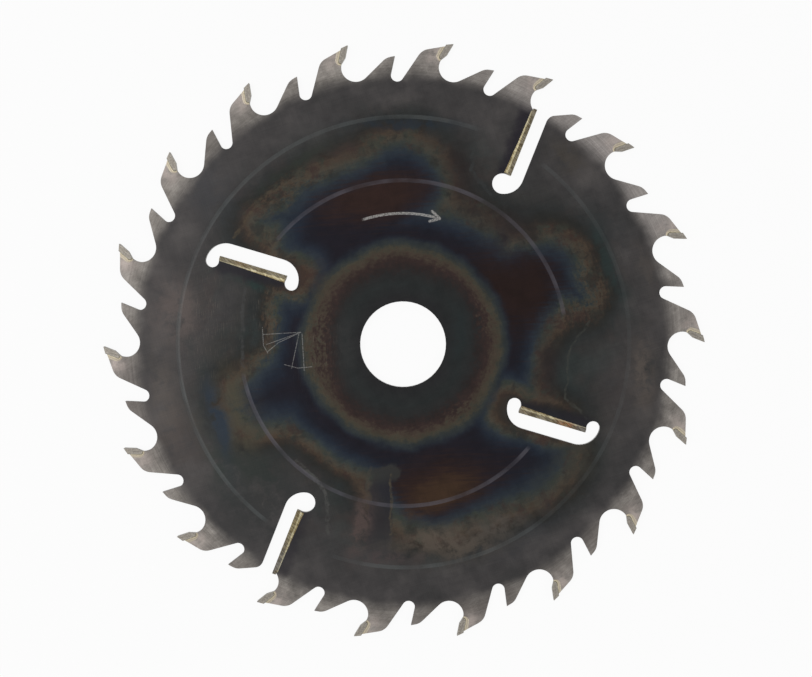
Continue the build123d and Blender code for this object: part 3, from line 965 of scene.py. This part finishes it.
def finish_bead(piece, seed, cuts):
    """Makes a bead uneven and smooth, cuts its ends off flush, and adds the same bead under the plate."""
    unevenness = 0.09
    bpy.ops.object.mode_set(mode="EDIT")
    bpy.ops.mesh.select_all(action="SELECT")
    bpy.ops.transform.vertex_random(offset=unevenness, seed=seed)
    bpy.ops.object.mode_set(mode="OBJECT")
    smooth = piece.modifiers.new("smooth", "SUBSURF")
    smooth.levels = smooth.render_levels = 1
    bpy.ops.object.modifier_apply(modifier="smooth")
    bpy.ops.object.mode_set(mode="EDIT")
    for place, outwards in cuts:
        bpy.ops.mesh.select_all(action="SELECT")
        bpy.ops.mesh.bisect(plane_co=place, plane_no=outwards, use_fill=True, clear_outer=True)
    bpy.ops.object.mode_set(mode="OBJECT")
    under = piece.modifiers.new("under", "MIRROR")
    under.use_axis = (False, False, True)
    bpy.ops.object.modifier_apply(modifier="under")
    bpy.ops.object.mode_set(mode="EDIT")
    bpy.ops.mesh.select_all(action="SELECT")
    bpy.ops.mesh.normals_make_consistent(inside=False)
    bpy.ops.object.mode_set(mode="OBJECT")
    bpy.ops.object.shade_smooth_by_angle(angle=radians(40))


def distance_from_tip(place):
    """How far a point on a tip's fillet lies from the carbide."""
    if place.y > tip_foot_corner:
        return -place.x
    if place.x < tip_foot_corner:
        return (place.xy - Vector((tip_foot_corner, tip_foot_corner))).length - tip_foot_corner
    return -place.y


def note_across(piece, across):
    """Keeps on each point how far it lies from the carbide, for the solder's colour."""
    kept = piece.data.attributes.new("across", "FLOAT", "POINT")
    for vertex, value in zip(piece.data.vertices, kept.data):
        value.value = across(vertex.co)


def set_in_place(piece, place):
    """Moves what was drawn in millimetres to its place on the blade, in its mesh."""
    piece.matrix_world = Matrix.Scale(millimetre, 4) @ place
    bpy.ops.object.transform_apply(location=True, rotation=True, scale=True)
    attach(piece, "root")


# The solder is pale straw against the carbide and at its toe, and pinkish between.
fillet_material, tree, shader, place = new_material("braze_fillet")
across = add_node(tree, "ShaderNodeAttribute", attribute_name="across").outputs["Fac"]
spread_noise = sum_of(tree, "SUBTRACT", noise(tree, place, 1.6, 3.0, 0.6), 0.5)
across = sum_of(tree, "MULTIPLY_ADD", spread_noise, 0.9, across)
fillet_colours = [
    (0.0, tone(118, 110, 98)),
    (0.14, tone(206, 198, 168)),
    (0.32, tone(186, 174, 154)),
    (0.5, tone(172, 159, 148)),
    (0.72, tone(200, 192, 168)),
    (1.0, tone(164, 154, 146)),
]
fillet_reach = 2.2
colour = ramp(tree, run_of(tree, across, 0, fillet_reach), fillet_colours)
spots = smooth_step(tree, noise(tree, place, 0.7, 3.0, 0.6), 0.52, 0.7, 0, 0.5)
colour = mix(tree, spots, colour, tone(138, 124, 108))
give_surface(tree, shader, colour, metallic=0.85, roughness=0.5)
give_relief(tree, shader, noise(tree, place, 0.5, 3.0, 0.6), depth=0.06)

face_up = Vector((sin(tip_hook), cos(tip_hook), 0))
face_back = Vector((-cos(tip_hook), sin(tip_hook), 0))
foot = Vector((0, blade_radius, 0)) - face_up * tip_length + face_back * tip_thickness
tip_frame = Matrix.Translation(foot) @ Matrix.Rotation(-tip_hook, 4, "Z")

drawn = bead_section("tip_fillet", fillet_start, fillet_width)
for widen in fillet_widening:
    pull(-fillet_step, widen)
corner_steps = 5
corner_narrowing = 0.94
corner_centre = (tip_foot_corner, tip_foot_corner, 0)
for step in range(corner_steps):
    bpy.ops.mesh.extrude_region_move(TRANSFORM_OT_translate={"value": (0, 0, 0)})
    bpy.ops.transform.rotate(value=-pi / 2 / corner_steps, orient_axis="Z", center_override=corner_centre)
    bpy.ops.transform.resize(value=(corner_narrowing, corner_narrowing, 1), center_override=corner_centre)
for onwards in (0.5, 0.7):
    bpy.ops.mesh.extrude_region_move(TRANSFORM_OT_translate={"value": (onwards, 0, 0)})
bpy.ops.object.mode_set(mode="OBJECT")

cut_inside = 0.02
tip_cuts = [
    ((-0.15, land_end - cut_inside, 0), (-sin(land_slope), cos(land_slope), 0)),
    ((foot_front - cut_inside, 0, 0), (1, 0, 0)),
]
fillet_seed = 11
draw = random.Random(fillet_seed)
rows = [fillet_start - step * fillet_step for step in range(len(fillet_widening))]
for tooth in range(tooth_count):
    piece = drawn.copy()
    piece.data = drawn.data.copy()
    piece.name = f"tip_fillet_{tooth + 1:02d}"
    bpy.context.collection.objects.link(piece)
    bpy.ops.object.select_all(action="DESELECT")
    bpy.context.view_layer.objects.active = piece
    piece.select_set(True)
    bpy.ops.object.mode_set(mode="EDIT")
    spread = draw.uniform(0.1, 1.1)
    for row in rows:
        choose_vertices(piece, lambda place: abs(place.y - row) < 0.2 and place.x < -0.1)
        wider = 1 + spread * (row - tip_foot_corner) / (land_end - tip_foot_corner)
        bpy.ops.transform.resize(value=(wider, 1, 1), center_override=(0, 0, 0))
    bpy.ops.object.mode_set(mode="OBJECT")
    finish_bead(piece, tooth, tip_cuts)
    note_across(piece, distance_from_tip)
    set_in_place(piece, Matrix.Rotation(tooth * pitch - pi / 2, 4, "Z") @ tip_frame)
    piece.data.materials.append(fillet_material)
bpy.data.objects.remove(drawn)

# Braze beads beside the wiper strips
# The strips were brazed in by hand along one wall of each slot. The solder stands in a bead beside the strip,
# wider towards its inner end, and is ground down to the strip on both faces.
bead_material, tree, shader, place = new_material("braze_bead")
across = add_node(tree, "ShaderNodeAttribute", attribute_name="across").outputs["Fac"]
bead_stain = noise(tree, place, 2.4, 4.0, 0.6)
bead_colours = [
    (0.32, tone(130, 114, 86)),
    (0.45, tone(160, 146, 108)),
    (0.56, tone(190, 178, 140)),
    (0.68, tone(206, 200, 176)),
]
colour = use(tree, strip_tints, {"Place": place, "Colour": ramp(tree, bead_stain, bead_colours)})["Colour"]
# A painted highlight: a pale straw line along the bead's crest, where its top would catch the light.
crest_at = 0.45
from_crest = sum_of(tree, "ABSOLUTE", sum_of(tree, "SUBTRACT", across, crest_at))
crest = smooth_step(tree, from_crest, 0.1, 0.5, 0.45, 0)
colour = mix(tree, crest, colour, tone(206, 200, 172))
toe = smooth_step(tree, across, 0.8, 1.7, 0, 0.55)
colour = mix(tree, toe, colour, tone(98, 82, 60))
give_surface(tree, shader, colour, metallic=0.85, roughness=0.45)
give_relief(tree, shader, noise(tree, place, 0.6, 3.0, 0.6), depth=0.08)

bead_width = 0.6
bead_inside = 0.62
bead_crest = 1.8
bead_steps = 16
bead_step = (strip_length + 2) / bead_steps
bead_start = 0.3
open_bead_end = 38.9
closed_bead_end = strip_length - 0.3
bead_seed = 40
for number, (angle, slot) in enumerate(strip_places, start=1):
    end = open_bead_end if slot is open_slot else closed_bead_end
    piece = bead_section(f"wiper_bead_{number}", strip_length + 1, bead_width, bead_inside, bead_crest)
    for step in range(bead_steps):
        pull(-bead_step, 1.08)
    bpy.ops.object.mode_set(mode="OBJECT")
    cuts = [((0, end, 0), (0, 1, 0)), ((0, bead_start, 0), (0, -1, 0))]
    finish_bead(piece, bead_seed + number, cuts)
    note_across(piece, lambda place: -place.x)
    set_in_place(piece, slot_frame(angle, **slot))
    piece.data.materials.append(bead_material)
